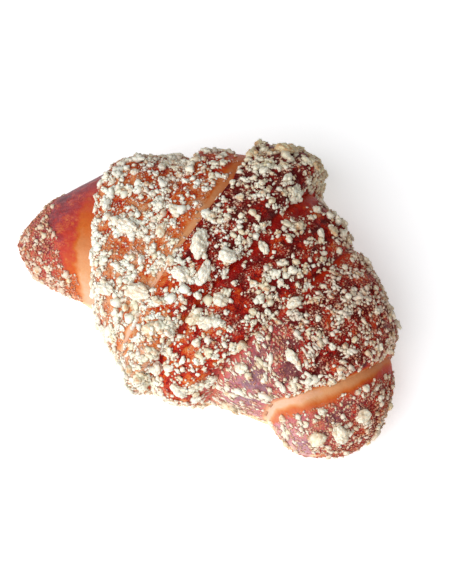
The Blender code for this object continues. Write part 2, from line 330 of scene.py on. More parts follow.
# The crust's looks, one row for each turn. Where three values stand, they are for the outer side,
# the ridge and the inner side.
# Of the seam where the turn begins, band: how wide no small crumbs lie beside it, in millimetres,
# bridged: how much of that crumbs lie across after all, pale: how wide the dough is stretched and
# pale, in millimetres, lip: how pale, and soft: how gently that ends.
# baked: how dark the crust is, and bloom: how much painted sheen it has. cracked: how deep and bare
# its cracks are, and clean: how bare of small crumbs it is between their patches.
# coarse, medium, fine, grains: how thickly each kind of crumb lies, and size: how large they are.
# warm: how yellow the crumbs are, and toast: how far they have taken the crust's colour.
# drag: how far they are drawn out lengthwise.
turnLooks = [
    {  # left horn
        "band": 0.0, "bridged": 0.0, "pale": 1.0, "soft": 0.1,
        "lip": 0.0, "baked": (0.75, 0.58, 0.4), "paintedSheen": (0.5, 0.22, 0.14),
        "cracked": 0.1, "clean": 0.1, "size": 1.0, "toast": (0.25, 0.4, 0.45),
        "coarse": (0.1, 0.1, 0.3), "medium": (0.6, 0.5, 0.6), "fine": 1.0,
        "grains": 1.0, "warm": (0.8, 0.6, 0.3), "drag": (0.3, 0.2, 0.2),
    },
    {  # left shoulder
        "band": (14.0, 18.5, 14.5), "bridged": (0.1, 0.05, 0.3), "pale": (2.0, 6.4, 10.5), "soft": 0.2,
        "lip": (0.0, 0.46, 0.95), "baked": (0.45, 0.08, -0.1), "paintedSheen": (0.0, 0.0, 0.1),
        "cracked": 0.5, "clean": 0.4, "size": 1.05, "toast": (0.2, 0.0, 0.0),
        "coarse": (0.8, 1.0, 1.2), "medium": (1.0, 1.1, 1.3), "fine": 0.8,
        "grains": (0.8, 0.7, 0.8), "warm": (0.3, 0.0, 0.2), "drag": (0.0, 0.0, 0.3),
    },
    {  # left middle
        "band": (0.8, 1.0, 2.0), "bridged": 0.9, "pale": (1.0, 1.0, 2.0), "soft": 0.3,
        "lip": (0.4, 0.5, 0.9), "baked": (0.45, 0.12, -0.2), "paintedSheen": 0.0,
        "cracked": 0.6, "clean": 0.6, "size": 1.05, "toast": (0.2, 0.0, 0.0),
        "coarse": (0.8, 0.6, 1.2), "medium": (0.8, 0.65, 1.2), "fine": (0.7, 0.6, 0.8),
        "grains": (0.7, 0.5, 0.8), "warm": (0.3, 0.0, 0.2), "drag": 0.0,
    },
    {  # middle
        "band": (4.4, 3.2, 4.2), "bridged": (0.3, 0.7, 0.9), "pale": (3.6, 2.8, 4.0), "soft": 0.4,
        "lip": (0.45, 0.8, 1.0), "baked": (0.7, 0.8, -0.5), "paintedSheen": 0.0,
        "cracked": 0.8, "clean": 0.8, "size": 1.05, "toast": (0.15, 0.05, 0.0),
        "coarse": (2.0, 0.6, 1.5), "medium": (2.3, 0.85, 1.5), "fine": (0.9, 0.7, 0.9),
        "grains": (0.6, 0.5, 0.7), "warm": (1.0, 0.1, 0.1), "drag": 0.0,
    },
    {  # right middle
        "band": (4.6, 2.4, 0.0), "bridged": (0.1, 0.9, 1.0), "pale": (4.0, 2.0, 1.0), "soft": 0.5,
        "lip": (0.35, 0.2, 0.3), "baked": (0.5, 0.75, 0.2), "paintedSheen": 0.0,
        "cracked": 0.7, "clean": 0.9, "size": 1.0, "toast": (0.3, 0.1, 0.0),
        "coarse": (0.4, 0.55, 1.0), "medium": (0.75, 0.7, 1.0), "fine": (0.6, 0.5, 0.6),
        "grains": (0.6, 0.5, 0.5), "warm": (0.5, 0.3, 0.2), "drag": (0.0, 0.0, 0.1),
    },
    {  # right shoulder
        "band": (2.4, 1.2, 2.5), "bridged": (0.6, 0.9, 0.9), "pale": (3.0, 2.0, 3.5), "soft": 0.5,
        "lip": (0.4, 0.3, 0.45), "baked": (0.7, 0.75, 0.6), "paintedSheen": (0.0, 0.0, 0.85),
        "cracked": 0.8, "clean": 0.4, "size": 0.95, "toast": (0.4, 0.2, 0.1),
        "coarse": (0.1, 0.15, 0.35), "medium": (1.3, 1.0, 0.7), "fine": (0.8, 0.8, 0.7),
        "grains": (0.7, 0.7, 0.5), "warm": (0.5, 0.3, 0.3), "drag": (0.1, 0.6, 1.0),
    },
    {  # right horn
        "band": (5.2, 5.0, 7.2), "bridged": 0.0, "pale": (2.6, 3.4, 3.8), "soft": 0.45,
        "lip": (0.6, 0.88, 1.0), "baked": (0.55, 0.55, 0.4), "paintedSheen": (0.0, 0.3, 1.1),
        "cracked": 0.7, "clean": 0.2, "size": 1.0, "toast": (0.35, 0.15, 0.1),
        "coarse": (0.2, 0.1, 0.2), "medium": (0.7, 0.6, 0.4), "fine": (1.2, 1.2, 0.8),
        "grains": (1.2, 1.2, 0.9), "warm": (0.6, 0.4, 0.4), "drag": (0.0, 0.1, 0.3),
    },
]

crustLook = {
    "ringsPerTurn": 40,
    "stepsOverTop": 250,
    "stepsUnderBase": 24,
    "stepsDownSeam": 5,
    "seamGap": 0.018,  # share of a turn that its seams take up
    "tipGap": 0.01,
    "lipShare": 0.4,  # how much of a seam's step looks like its lip
    "lumps": (6.0 * mm, 0.6 * mm, 0.4),  # length, height, and share of the height without crumbs
    "wrinkles": (2.4 * mm, 0.3 * mm, 0.25),
    "cracks": (8.0 * mm, 0.9 * mm),
    "crackShift": Vector((7.0, 3.0, 5.0)),
    "crackWidth": 0.09,
    "flatBelow": 2.5 * mm,
    "rims": (4.0, 4.0, 9.0),  # the unbaked foot: how high it reaches, in millimetres
    "paintedSheenEnds": (0.05, 0.7),  # how pale a band has no painted sheen, dust or cracks any more
    "dustEnds": (0.1, 0.4),
    "cracksEnd": (0.1, 0.5),
    "leastDust": 0.15,
    "paleOn": (0.5, 0.7, 0.8),  # painted light and shade: how much lumps and wrinkles brighten the crust, and cracks darken it
    "mottles": (2.0 * mm, 4.0, 0.7),  # noises: size of a lump, detail, roughness
    "patches": (6.0 * mm, 3.0, 0.6),
    # painted shade: noise for thin dark lines along folds
    "folds": (1.1 * mm, 2.0, 0.5),
    "streaks": (2.0 * mm, 4.0, 0.65),
    "specks": (0.6 * mm, 2.0, 0.6),
    "pores": (0.6 * mm, 4.0, 0.6),
    "creases": (1.8 * mm, 3.0, 0.6),
    "streakShare": 0.55,  # how much longer than wide the painted sheen's streaks are drawn
    "paleInMottles": 1.0,
    "paleInPatches": 1.8,
    "paleByHeight": 0.4,
    # how much painted shade darkens the crust along the folds
    "foldShade": 0.45,
    "foldWidth": 0.06,
    "raggedBand": 0.2,
    "palestBaked": 0.7,
    "streakEdge": (0.3, 0.7),  # noise from which the painted sheen sets in, and at which it is full
    # how strong the painted sheen is, from its least to its most
    "sheenRange": (0.25, 0.85),
    "speckEdge": (0.53, 0.6),
    "dustShare": 0.5,
    "raggedRim": (1.6, 0.8),  # by the patches, and by the mottles
    "rimEdge": (1.0, 0.5),
    "smoothBand": (0.1, 0.6),  # how pale a band begins and ends to be smooth
    "smoothest": 0.3,
    "poreDepth": (0.5, 0.3 * mm),  # strength, depth
    "creaseDepth": (0.6, 0.8 * mm),
    "baking": (  # from the darkest crust to the palest dough
        (0.0, srgb(94, 3, 5)), (0.2, srgb(158, 14, 8)), (0.36, srgb(190, 48, 10)),
        (0.55, srgb(200, 98, 30)), (0.85, srgb(214, 154, 106)), (1.0, srgb(228, 182, 154)),
    ),
    "unbaked": srgb(240, 206, 164),
    # painted sheen: the colour of a bluish reflection on the glossy crust
    "lilacSheen": srgb(214, 182, 196),
    "dust": srgb(220, 156, 124),
    "roughness": 0.45,
    "specular": 0.1,
    "coat": 0.04,
    "coatRoughness": 0.3,
}


def lookAt(turn, phi, key):
    value = turnLooks[turn][key]
    return over(value, -math.cos(phi)) if isinstance(value, tuple) else value


def seamBeside(turn):
    # the seam that a turn comes out from
    return turn + 1 if turn < middleTurn else turn


farFromLip = 99.0  # millimetres: the middle turn comes out from no lip


def fromLip(turn, q, phi):
    # millimetres from the lip that a turn comes out from
    if turn == middleTurn:
        return farFromLip
    across = -math.cos(phi)
    share = 1.0 - q if turn < middleTurn else q
    swept = turnAngle(turn, 1.0, across) - turnAngle(turn, 0.0, across)
    return share * swept * rollForm["bendRadius"] / mm


bandLook = {
    "reach": 30.0,  # millimetres from the lip, further than any band goes
    "ragged": ((4.0 * mm, 0.25), (1.5 * mm, 0.08)),  # waves of its edge: length, depth
    "narrowest": 0.5,
    "fades": (0.45, 0.25, 0.3),  # how much of the paleness goes at the edge, and in two later steps
    "secondFade": (1.6, 2.1),  # begin and end, in widths of the band
    "thirdFade": (2.2, 3.0),
}


def bandTone(turn, q, phi, place):
    # how pale the stretched dough beside a lip is
    look = bandLook
    away = fromLip(turn, q, phi)
    if away > look["reach"]:
        return 0.0
    seam = seamBeside(turn)
    soft = turnLooks[seam]["soft"]
    ragged = 1.0
    for length, depth in look["ragged"]:
        ragged += depth * noise.noise(place / length)
    share = away / max(look["narrowest"], lookAt(seam, phi, "pale") * ragged)
    first, second, third = look["fades"]
    fade = first * ease(1.0 - soft, 1.0 + soft, share)
    fade += second * ease(*look["secondFade"], share) + third * ease(*look["thirdFade"], share)
    return lookAt(seam, phi, "lip") * (1.0 - fade)


def crackAt(place):
    # 1 along the crust's cracks, 0 away from them
    valley = noise.noise(place / crustLook["cracks"][0] + crustLook["crackShift"])
    return math.exp(-((valley / crustLook["crackWidth"]) ** 2))


coverLook = {
    "edge": (3.0 * mm, 1.8),  # waves of the bare band's edge: length, and depth in millimetres
    "setsIn": (-0.5, 0.8),  # millimetres past the edge
    "bridges": 8.0 * mm,
    "bridgeEdge": (-0.2, 0.1),  # noise from which a bridge, heap or patch sets in, and is full
    "bridgeShift": Vector((3.1, 8.2, 1.7)),
    "thinBelow": (3.0 * mm, 12.0 * mm),
    "thinnest": 0.4,
    "noneBelow": (0.5 * mm, 2.5 * mm),
    "offCracks": 0.9,
    "heaps": (6.5 * mm, 2.6 * mm, 0.5),  # size, size of smaller lumps, and how much these count
    "heapEdge": (-0.2, 0.15),
    "heapShift": Vector((9.4, 2.6, 6.3)),
    "betweenHeaps": 0.12,
    "patches": (5.0 * mm, 2.0 * mm, 0.4),
    "patchEdge": (-0.05, 0.2),
    "patchShift": Vector((4.7, 11.2, 8.5)),
}


def lumpy(place, sizes, shift):
    large, small, smallShare = sizes
    return noise.noise(place / large + shift) + smallShare * noise.noise(place / small + shift)


def crumbCover(turn, q, phi, place):
    # how thickly small crumbs lie on a place, and large ones, which lie in heaps
    look = coverLook
    wave, depth = look["edge"]
    away = fromLip(turn, q, phi) + depth * noise.noise(place / wave)
    seam = seamBeside(turn)
    crossed = ease(*look["bridgeEdge"], noise.noise(place / look["bridges"] + look["bridgeShift"]))
    band = lookAt(seam, phi, "band") * (1.0 - lookAt(seam, phi, "bridged") * crossed)
    begin, end = look["setsIn"]
    bare = 1.0 - ease(band + begin, band + end, away)
    low = mix(look["thinnest"], 1.0, ease(*look["thinBelow"], place.z))
    low *= ease(*look["noneBelow"], place.z)
    whole = 1.0 - look["offCracks"] * turnLooks[turn]["cracked"] * crackAt(place)
    crumbs = (1.0 - bare) * low * whole
    patch = ease(*look["patchEdge"], lumpy(place, look["patches"], look["patchShift"]))
    heap = ease(*look["heapEdge"], lumpy(place, look["heaps"], look["heapShift"]))
    small = crumbs * mix(1.0 - turnLooks[turn]["clean"], 1.0, patch)
    return small, crumbs * mix(look["betweenHeaps"], 1.0, heap)


def crustRings():
    # (turn, q) of each ring, closer together at the seams and the tips
    look = crustLook
    gap = look["seamGap"]
    for turn in range(len(turns)):
        for i in range(look["ringsPerTurn"]):
            share = i / (look["ringsPerTurn"] - 1)
            if turn == 0:
                q = mix(look["tipGap"], 1.0 - gap, math.sin(0.5 * math.pi * share))
            elif turn == lastTurn:
                q = mix(gap, 1.0 - look["tipGap"], 1.0 - math.cos(0.5 * math.pi * share))
            else:
                q = mix(gap, 1.0 - gap, 0.5 - 0.5 * math.cos(math.pi * share))
            yield turn, q


def crustSection():
    # angles round the section: over the top, then under the flat base
    edge = math.asin(baseSine)
    top, base = crustLook["stepsOverTop"], crustLook["stepsUnderBase"]
    angles = [mix(-edge, math.pi + edge, i / top) for i in range(top)]
    return angles + [mix(math.pi + edge, 2 * math.pi - edge, i / base) for i in range(base)]


def crustRelief(place, covered, cracked):
    # height of the surface over the smooth form, and how high the spot lies, for painted shade in its
    # colour
    lumpLength, lumpHeight, bareLump = crustLook["lumps"]
    wrinkleLength, wrinkleHeight, bareWrinkle = crustLook["wrinkles"]
    lump = noise.noise(place / lumpLength)
    wrinkle = noise.noise(place / wrinkleLength)
    crack = crackAt(place) * cracked
    byLump, byWrinkle, byCrack = crustLook["paleOn"]
    height = lump * lumpHeight * mix(bareLump, 1.0, covered)
    height += wrinkle * wrinkleHeight * mix(bareWrinkle, 1.0, covered)
    height -= crack * crustLook["cracks"][1]
    return height, byWrinkle * wrinkle + byLump * lump - byCrack * crack


ownLooks = ("baked", "paintedSheen", "warm", "toast", "drag")
largeKinds = ("coarse", "medium")
smallKinds = ("fine", "grains")
otherLayers = ("tone", "rim", "deep", "cracked", "size", "dust")


def paintCrust(vert, layers, turn, q, phi):
    look = crustLook
    small, large = crumbCover(turn, q, phi, vert.co)
    tone = bandTone(turn, q, phi, vert.co)
    values = {key: lookAt(turn, phi, key) for key in ownLooks}
    # painted sheen, fading out on the pale stretched bands
    values["paintedSheen"] *= 1.0 - ease(*look["paintedSheenEnds"], tone)
    for key in largeKinds:
        values[key] = large * lookAt(turn, phi, key)
    for key in smallKinds:
        values[key] = small * lookAt(turn, phi, key)
    values["tone"] = tone
    values["rim"] = vert.co.z / mm / over(look["rims"], -math.cos(phi))
    values["deep"] = max(small, large)  # how covered it is, until the relief is known
    values["cracked"] = turnLooks[turn]["cracked"] * (1.0 - ease(*look["cracksEnd"], tone))
    values["size"] = turnLooks[turn]["size"]
    values["dust"] = max(small, look["leastDust"] * (1.0 - ease(*look["dustEnds"], tone)))
    for name, value in values.items():
        vert[layers[name]] = value


def makeCrust():
    angles = crustSection()
    bm = bmesh.new()
    names = ownLooks + largeKinds + smallKinds + otherLayers
    layers = {name: bm.verts.layers.float.new(name) for name in names}
    flow = bm.verts.layers.float_vector.new("flow")
    skin = bm.verts.layers.float_vector.new("skin")
    rings = []
    turnBefore = 0
    for turn, q in crustRings():
        ring = []
        for phi in angles:
            vert = bm.verts.new(crustPoint(turn, q, phi))
            paintCrust(vert, layers, turn, q, phi)
            # lengthwise coordinates for the painted sheen's streaks
            along = turnAngle(turn, q, -math.cos(phi)) * rollForm["bendRadius"]
            streaked = along * crustLook["streakShare"]
            vert[skin] = Vector((streaked, phi * rollForm["sectionRadius"], 0.0))
            ring.append(vert)
        if turn != turnBefore:
            rings += seamRings(bm, layers, skin, rings[-1], ring, turn > middleTurn)
        rings.append(ring)
        turnBefore = turn
    joinRings(bm, rings, flow)
    raiseRelief(bm, layers)
    piece = meshPiece(bm, "crust")
    restOnTray(piece.data)
    return piece


def joinRings(bm, rings, flow):
    # faces from ring to ring, and from the first and last one to the horns' tips
    leftTip = bm.verts.new(crustPoint(0, 0.0, 0.0))
    rightTip = bm.verts.new(crustPoint(lastTurn, 1.0, 0.0))
    steps = len(rings[0])
    for i in range(steps):
        j = (i + 1) % steps
        for near, far in zip(rings, rings[1:]):
            bm.faces.new((near[i], near[j], far[j], far[i]))
            near[i][flow] = far[i].co - near[i].co
        bm.faces.new((leftTip, rings[0][j], rings[0][i]))
        bm.faces.new((rightTip, rings[-1][i], rings[-1][j]))
    bmesh.ops.recalc_face_normals(bm, faces=bm.faces)


def raiseRelief(bm, layers):
    bm.normal_update()
    moves = []
    for vert in bm.verts:
        height, deep = crustRelief(vert.co, vert[layers["deep"]], vert[layers["cracked"]])
        vert[layers["deep"]] = deep
        moves.append(vert.normal * height * ease(0.0, crustLook["flatBelow"], vert.co.z))
    for vert, move in zip(bm.verts, moves):
        vert.co += move


def seamRings(bm, layers, skin, before, after, lipFirst):
    # rings down the step between two turns; the lip's looks reach well down it
    steps, lip = crustLook["stepsDownSeam"], crustLook["lipShare"]
    rings = []
    for step in range(1, steps):
        share = step / steps
        blend = ease(lip, 1.0, share) if lipFirst else ease(0.0, 1.0 - lip, share)
        ring = []
        for a, b in zip(before, after):
            vert = bm.verts.new(a.co.lerp(b.co, share))
            for layer in layers.values():
                vert[layer] = mix(a[layer], b[layer], blend)
            vert[skin] = a[skin].lerp(b[skin], share)
            ring.append(vert)
        rings.append(ring)
    return rings


def restOnTray(mesh):
    for vert in mesh.vertices:
        vert.co.z = max(0.0, vert.co.z)


def addObject(name, data):
    item = bpy.data.objects.new(name, data)
    bpy.context.scene.collection.objects.link(item)
    return item


def meshPiece(bm, name):
    mesh = bpy.data.meshes.new(name)
    bm.to_mesh(mesh)
    bm.free()
    mesh.shade_smooth()
    return addObject(name, mesh)


def crustMaterial():
    look = crustLook
    tree = Material("crustMaterial")
    place = tree.objectPlace()
    mottled = tree.evenNoise(look["mottles"], place)
    patchy = tree.evenNoise(look["patches"], place)
    raw = tree.math("SUBTRACT", 1.0, tree.attribute("baked"))
    raw = tree.plus(raw, mottled, look["paleInMottles"])
    raw = tree.plus(raw, patchy, look["paleInPatches"])
    # painted shade: paler where the crust stands high, darker where it lies low
    raw = tree.plus(raw, tree.attribute("deep"), look["paleByHeight"])
    # painted shade: the colour darker in thin lines along the folds
    folded = tree.math("ABSOLUTE", tree.evenNoise(look["folds"], place))
    folded = tree.spread(folded, 0.0, look["foldWidth"], 1.0, 0.0)
    raw = tree.plus(raw, folded, -look["foldShade"])
    band = tree.plus(tree.attribute("tone"), mottled, look["raggedBand"])
    paleness = tree.math("MAXIMUM", tree.times(raw, look["palestBaked"]), band)
    colour = tree.ramp(paleness, look["baking"])
    # painted sheen: streaks of a bluish reflection blended into the colour
    streaks = tree.noise(*look["streaks"], tree.attribute("skin", "Vector"))
    streaks = tree.spread(streaks, *look["streakEdge"], *look["sheenRange"])
    colour = tree.blend(tree.times(tree.attribute("paintedSheen"), streaks), colour, look["lilacSheen"])
    specks = tree.spread(tree.noise(*look["specks"], place), *look["speckEdge"])
    dusty = tree.times(specks, tree.attribute("dust"))
    colour = tree.blend(tree.times(dusty, look["dustShare"]), colour, look["dust"])
    byPatches, byMottles = look["raggedRim"]
    rim = tree.plus(tree.attribute("rim"), patchy, byPatches)
    rim = tree.plus(rim, mottled, byMottles)
    colour = tree.blend(tree.spread(rim, *look["rimEdge"]), colour, look["unbaked"])
    rough = tree.spread(tree.attribute("tone"), *look["smoothBand"], 1.0, look["smoothest"])
    strength, depth = look["poreDepth"]
    pores = tree.bump(tree.noise(*look["pores"], place), tree.times(rough, strength), depth)
    strength, depth = look["creaseDepth"]
    strength = tree.times(rough, strength)
    return tree.finish({
        "Base Color": colour, "Roughness": look["roughness"], "Specular IOR Level": look["specular"],
        "Coat Weight": look["coat"], "Coat Roughness": look["coatRoughness"],
        "Normal": tree.bump(tree.noise(*look["creases"], place), strength, depth, pores),
    })


# Streusel
crumbLook = {
    "count": 150,
    "seed": 14,
    "choices": 5,
    "downTo": 14.0,
    "smallest": 2.6 * mm,
    "widths": (0.65, 0.95),
    "tall": 0.85,
    "sunk": 0.36,  # share of its height that is under the crust
    "patchStep": 0.01,
    "widestPatch": 0.0016,
    "fineness": ((8.0 * mm, 5), (4.3 * mm, 4), (0.0, 3)),  # subdivisions of those over a length
    "core": 0.86,  # sizes and places of a crumb's lumps are shares of the crumb's own
    "lumpSizes": (0.32, 0.5),
    "lumpReach": 0.62,
    "lumpRise": 0.7,
    "bulges": ((1.1, 0.4), (2.6, 0.25)),  # how many there are across, and how high
    "beadSize": 1.8 * mm,
    "beadRelief": (0.04, 0.24),
    "beadMiddle": 0.4,
    "creaseWidth": 0.35,
    "clumpToast": 0.3,
    "cream": srgb(249, 250, 234),
    "butter": srgb(232, 222, 182),
    "browned": srgb(200, 132, 70),
    "crusted": srgb(198, 122, 92),
    # the crumbs' foot: crust colour taken up, and painted shade under the crumb
    "soaked": srgb(146, 54, 28),
    # painted shade in the creases between a clump's beads
    "creaseShade": srgb(214, 170, 118),
    "yellowFrom": (0.5, 1.0),  # the crumbs' own tone, from 0 to 1, from which some are yellow
    "yellow": 0.6,
    "yellowByWarmth": 0.7,
    "mixing": (4.0 * mm, 3.0, 0.6),  # noises: size of a lump, detail, roughness
    "mixedEdge": (0.35, 0.65),
    "leastMixed": 0.5,
    "brownPatches": (1.8 * mm, 3.0, 0.6),
    "brownEdge": (0.48, 0.66),
    "brownFrom": (0.3, 0.9),  # the tone from which crumbs are browned more
    "brown": (0.15, 0.8),
    "creaseShare": 0.5,
    "footEdge": (0.72, 0.2),  # how high up a crumb its darker foot begins and is full: crust colour taken up, and painted shade
    "grain": (0.5 * mm, 3.0, 0.6),
    "grainDepth": (0.4, 0.25 * mm),  # strength, depth
    "roughness": 0.75,
    "subsurface": 0.1,
    "subsurfaceRadius": (1.0, 0.7, 0.4),
    "subsurfaceScale": 0.8 * mm,
}


def crustFrame(turn, q, phi):
    step = crumbLook["patchStep"]
    before, after = max(q - step, 0.0), min(q + step, 1.0)
    along = crustPoint(turn, after, phi) - crustPoint(turn, before, phi)
    sideways = crustPoint(turn, q, phi + step) - crustPoint(turn, q, phi - step)
    out = sideways.cross(along)
    patch = out.length / (4 * step**2)
    out.normalize()
    along.normalize()
    return along, out.cross(along), out, patch


def isBare(turn, q, phi):
    if turn == middleTurn:
        return False
    width = over(turns[seamBeside(turn)]["bare"], -math.cos(phi))
    return fromLip(turn, q, phi) < width


def crumbPlaces():
    # the same places as in the solid: the big clumps, then each crumb in the roomiest of a few
    look = crumbLook
    places = []
    for turn, values in enumerate(turns):
        for q, degrees, length, width, turned in values["clumps"]:
            place = turn, q, math.radians(degrees), length * mm, width * mm, math.radians(turned)
            places.append(place)
    draw = random.Random(look["seed"])
    middles = [crustPoint(*place[:3]) for place in places]
    while len(places) < look["count"]:
        choices = []
        while len(choices) < look["choices"]:
            turn = draw.randrange(len(turns))
            q = draw.random()
            phi = math.radians(draw.uniform(-look["downTo"], 180.0 + look["downTo"]))
            likely = turns[turn]["cover"] * crustFrame(turn, q, phi)[3] / look["widestPatch"]
            if draw.random() < likely and not isBare(turn, q, phi):
                middle = crustPoint(turn, q, phi)
                room = min((middle - other).length for other in middles)
                choices.append((room, turn, q, phi))
        room, turn, q, phi = max(choices)
        share = len(places) / look["count"]
        length = mix(turns[turn]["crumb"] * mm, look["smallest"], share**0.5)
        width = length * draw.uniform(*look["widths"])
        places.append((turn, q, phi, length, width, draw.uniform(0.0, math.pi)))
        middles.append(crustPoint(turn, q, phi))
    return places


def beadRelief(spot):
    # beads packed together: 0 in the creases between them and 1 on their tops
    nearest = noise.voronoi(spot)[0]
    return 1.0 - min(1.0, nearest[0] / max(nearest[1], 1e-6))


def anyVector(draw):
    return Vector((draw.uniform(-1, 1), draw.uniform(-1, 1), draw.uniform(-1, 1)))


noiseReach = 50.0  # the noises of different lumps start this far apart


def clumpLumps(draw, fineness):
    # a crumb's lumps, as (middle, size, subdivisions): its core, and smaller ones stuck to that
    look = crumbLook
    lumps = [(Vector(), look["core"], fineness)]
    for _ in range(2 * fineness - 4):
        side = anyVector(draw).normalized()
        side.z = abs(side.z) * look["lumpRise"]
        size = draw.uniform(*look["lumpSizes"])
        lumps.append((side * look["lumpReach"], size, max(2, fineness - 2)))
    return lumps


def lumpSurface(unit, offset, beads, relief):
    # how far a lump reaches towards the unit vector, and how high its bead stands there
    reach = 1.0
    for across, height in crumbLook["bulges"]:
        reach += height * noise.noise(unit * across + offset)
    bead = beadRelief(unit * beads + offset)
    reach += relief * (bead - crumbLook["beadMiddle"])
    return reach, bead


def makeClumps():
    # each big crumb is a lump of beads, with smaller lumps stuck to it inside its own outline
    look = crumbLook
    bm = bmesh.new()
    names = ("rise", "tone", "warm", "toast", "creaseShade")
    rise, tone, warm, toast, creaseShade = (bm.verts.layers.float.new(name) for name in names)
    for number, place in enumerate(crumbPlaces()):
        turn, q, phi, length, width, turned = place
        along, sideways, out, _ = crustFrame(turn, q, phi)
        draw = random.Random(number)
        size = Vector((length, width, look["tall"] * width))
        turning = Matrix((along, sideways, out)).transposed() @ Matrix.Rotation(turned, 3, "Z")
        middle = crustPoint(turn, q, phi) + out * size.z * (0.5 - look["sunk"])
        fineness = next(steps for least, steps in look["fineness"] if length > least)
        lumps = clumpLumps(draw, fineness)
        crumbTone = draw.random()
        crumbWarm, crumbToast = lookAt(turn, phi, "warm"), lookAt(turn, phi, "toast")
        relief = draw.uniform(*look["beadRelief"])
        for centre, share, subdivisions in lumps:
            offset = anyVector(draw) * noiseReach
            beads = share * 0.5 * length / look["beadSize"]
            ball = bmesh.ops.create_icosphere(bm, subdivisions=subdivisions, radius=1.0)["verts"]
            for vert in ball:
                unit = vert.co.copy()
                reach, bead = lumpSurface(unit, offset, beads, relief)
                rough = (centre + unit * reach * share) * 0.5
                vert.co = middle + turning @ Vector(a * b for a, b in zip(rough, size))
                vert[rise] = 0.5 + rough.z
                vert[tone] = crumbTone
                vert[warm] = crumbWarm
                vert[toast] = look["clumpToast"] * crumbToast
                # painted shade where the beads meet
                vert[creaseShade] = 1.0 - ease(0.0, look["creaseWidth"], bead)
    piece = meshPiece(bm, "streuselClumps")
    restOnTray(piece.data)
    return piece


nuggetLook = {
    "spin": 6.0,
    "scatter": 0.25,
    "reach": (0.85, 1.1),
    "beadSizes": (0.35, 0.62),
    "beadsOut": (0.0, 0.12),
    "beadsUp": (-0.15, 0.3),
}


def makeNugget(bm, draw, centre, size, corners):
    # a rough stone: the hull of points spread round a ball
    look = nuggetLook
    golden = math.pi * (3.0 - math.sqrt(5.0))
    spin = Matrix.Rotation(draw.uniform(0, look["spin"]), 3, "X")
    spin @= Matrix.Rotation(draw.uniform(0, look["spin"]), 3, "Z")
    points = []
    for i in range(corners):
        z = 1.0 - (2.0 * i + 1.0) / corners
        ring = math.sqrt(1.0 - z * z)
        point = Vector((ring * math.cos(golden * i), ring * math.sin(golden * i), z))
        point = spin @ (point + look["scatter"] * anyVector(draw)) * draw.uniform(*look["reach"])
        points.append(bm.verts.new(centre + point * 0.5 * size))
    hull = bmesh.ops.convex_hull(bm, input=points)
    inside = [item for item in hull["geom_interior"] if isinstance(item, bmesh.types.BMVert)]
    bmesh.ops.delete(bm, geom=inside, context="VERTS")


def makeCrumbShapes(name, look):
    # loose shapes about one unit across, made of nuggets that stick together
    pile = bpy.data.collections.new(name)
    draw = random.Random(look["seed"])
    for number in range(look["shapes"]):
        bm = bmesh.new()
        crowded = number / (look["shapes"] - 1)  # from a single pebble to the fullest cluster
        core = mix(1.0, look["core"], crowded)
        makeNugget(bm, draw, Vector(), core, look["corners"])
        for _ in range(round(crowded * (look["beads"] - 1))):
            size = draw.uniform(*nuggetLook["beadSizes"])
            reach = 0.5 * (1.0 - size) + draw.uniform(*nuggetLook["beadsOut"])
            turned = draw.uniform(0.0, 2 * math.pi)
            height = draw.uniform(*nuggetLook["beadsUp"])
            centre = Vector((reach * math.cos(turned), reach * math.sin(turned), height))
            makeNugget(bm, draw, centre, size, look["corners"])
        rise = bm.verts.layers.float.new("rise")
        for vert in bm.verts:
            vert[rise] = 0.5 + vert.co.z
        shape = meshPiece(bm, f"{name}{number}")
        bpy.context.scene.collection.objects.unlink(shape)
        pile.objects.link(shape)
    return pile


# One row for each kind of scattered crumb. shapes: how many different ones there are, and beads:
# how many nuggets the fullest has, with so many corners each. core: how much of that is its first
# nugget. lift: how far its middle stands off the crust, as a share of its size.
scatters = {
    "streuselCoarse": {
        "shapes": 9, "beads": 8, "corners": 12, "core": 0.72, "seed": 11,
        "spacing": 2.1 * mm, "perArea": 180000.0, "smallest": 2.2 * mm, "largest": 4.6 * mm,
        "lift": 0.12, "cover": "coarse", "material": "coarseCrumb",
    },
    "streuselMedium": {
        "shapes": 12, "beads": 4, "corners": 9, "core": 0.75, "seed": 3,
        "spacing": 0.95 * mm, "perArea": 1000000.0, "smallest": 1.2 * mm, "largest": 2.8 * mm,
        "lift": 0.12, "cover": "medium", "material": "mediumCrumb",
    },
    "streuselFine": {
        "shapes": 8, "beads": 2, "corners": 8, "core": 0.8, "seed": 5,
        "spacing": 0.66 * mm, "perArea": 1200000.0, "smallest": 0.65 * mm, "largest": 1.4 * mm,
        "lift": 0.1, "cover": "fine", "material": "fineCrumb",
    },
    "streuselGrains": {
        "shapes": 8, "beads": 1, "corners": 7, "core": 1.0, "seed": 7,
        "spacing": 0.45 * mm, "perArea": 1200000.0, "smallest": 0.3 * mm, "largest": 0.75 * mm,
        "lift": 0.05, "cover": "grains", "material": "grainCrumb",
    },
}

crumbDraws = {
    "rarity": 2.0,  # above 1, large crumbs are rarer than small ones
    "flat": 0.85,  # height against length
    "least": (0.75, 0.75, 0.7),  # length, width and height against the crumb's size
    "most": (1.25, 1.25, 1.0),
    "drawnOut": 0.8,  # how much longer fully dragged crumbs are
}


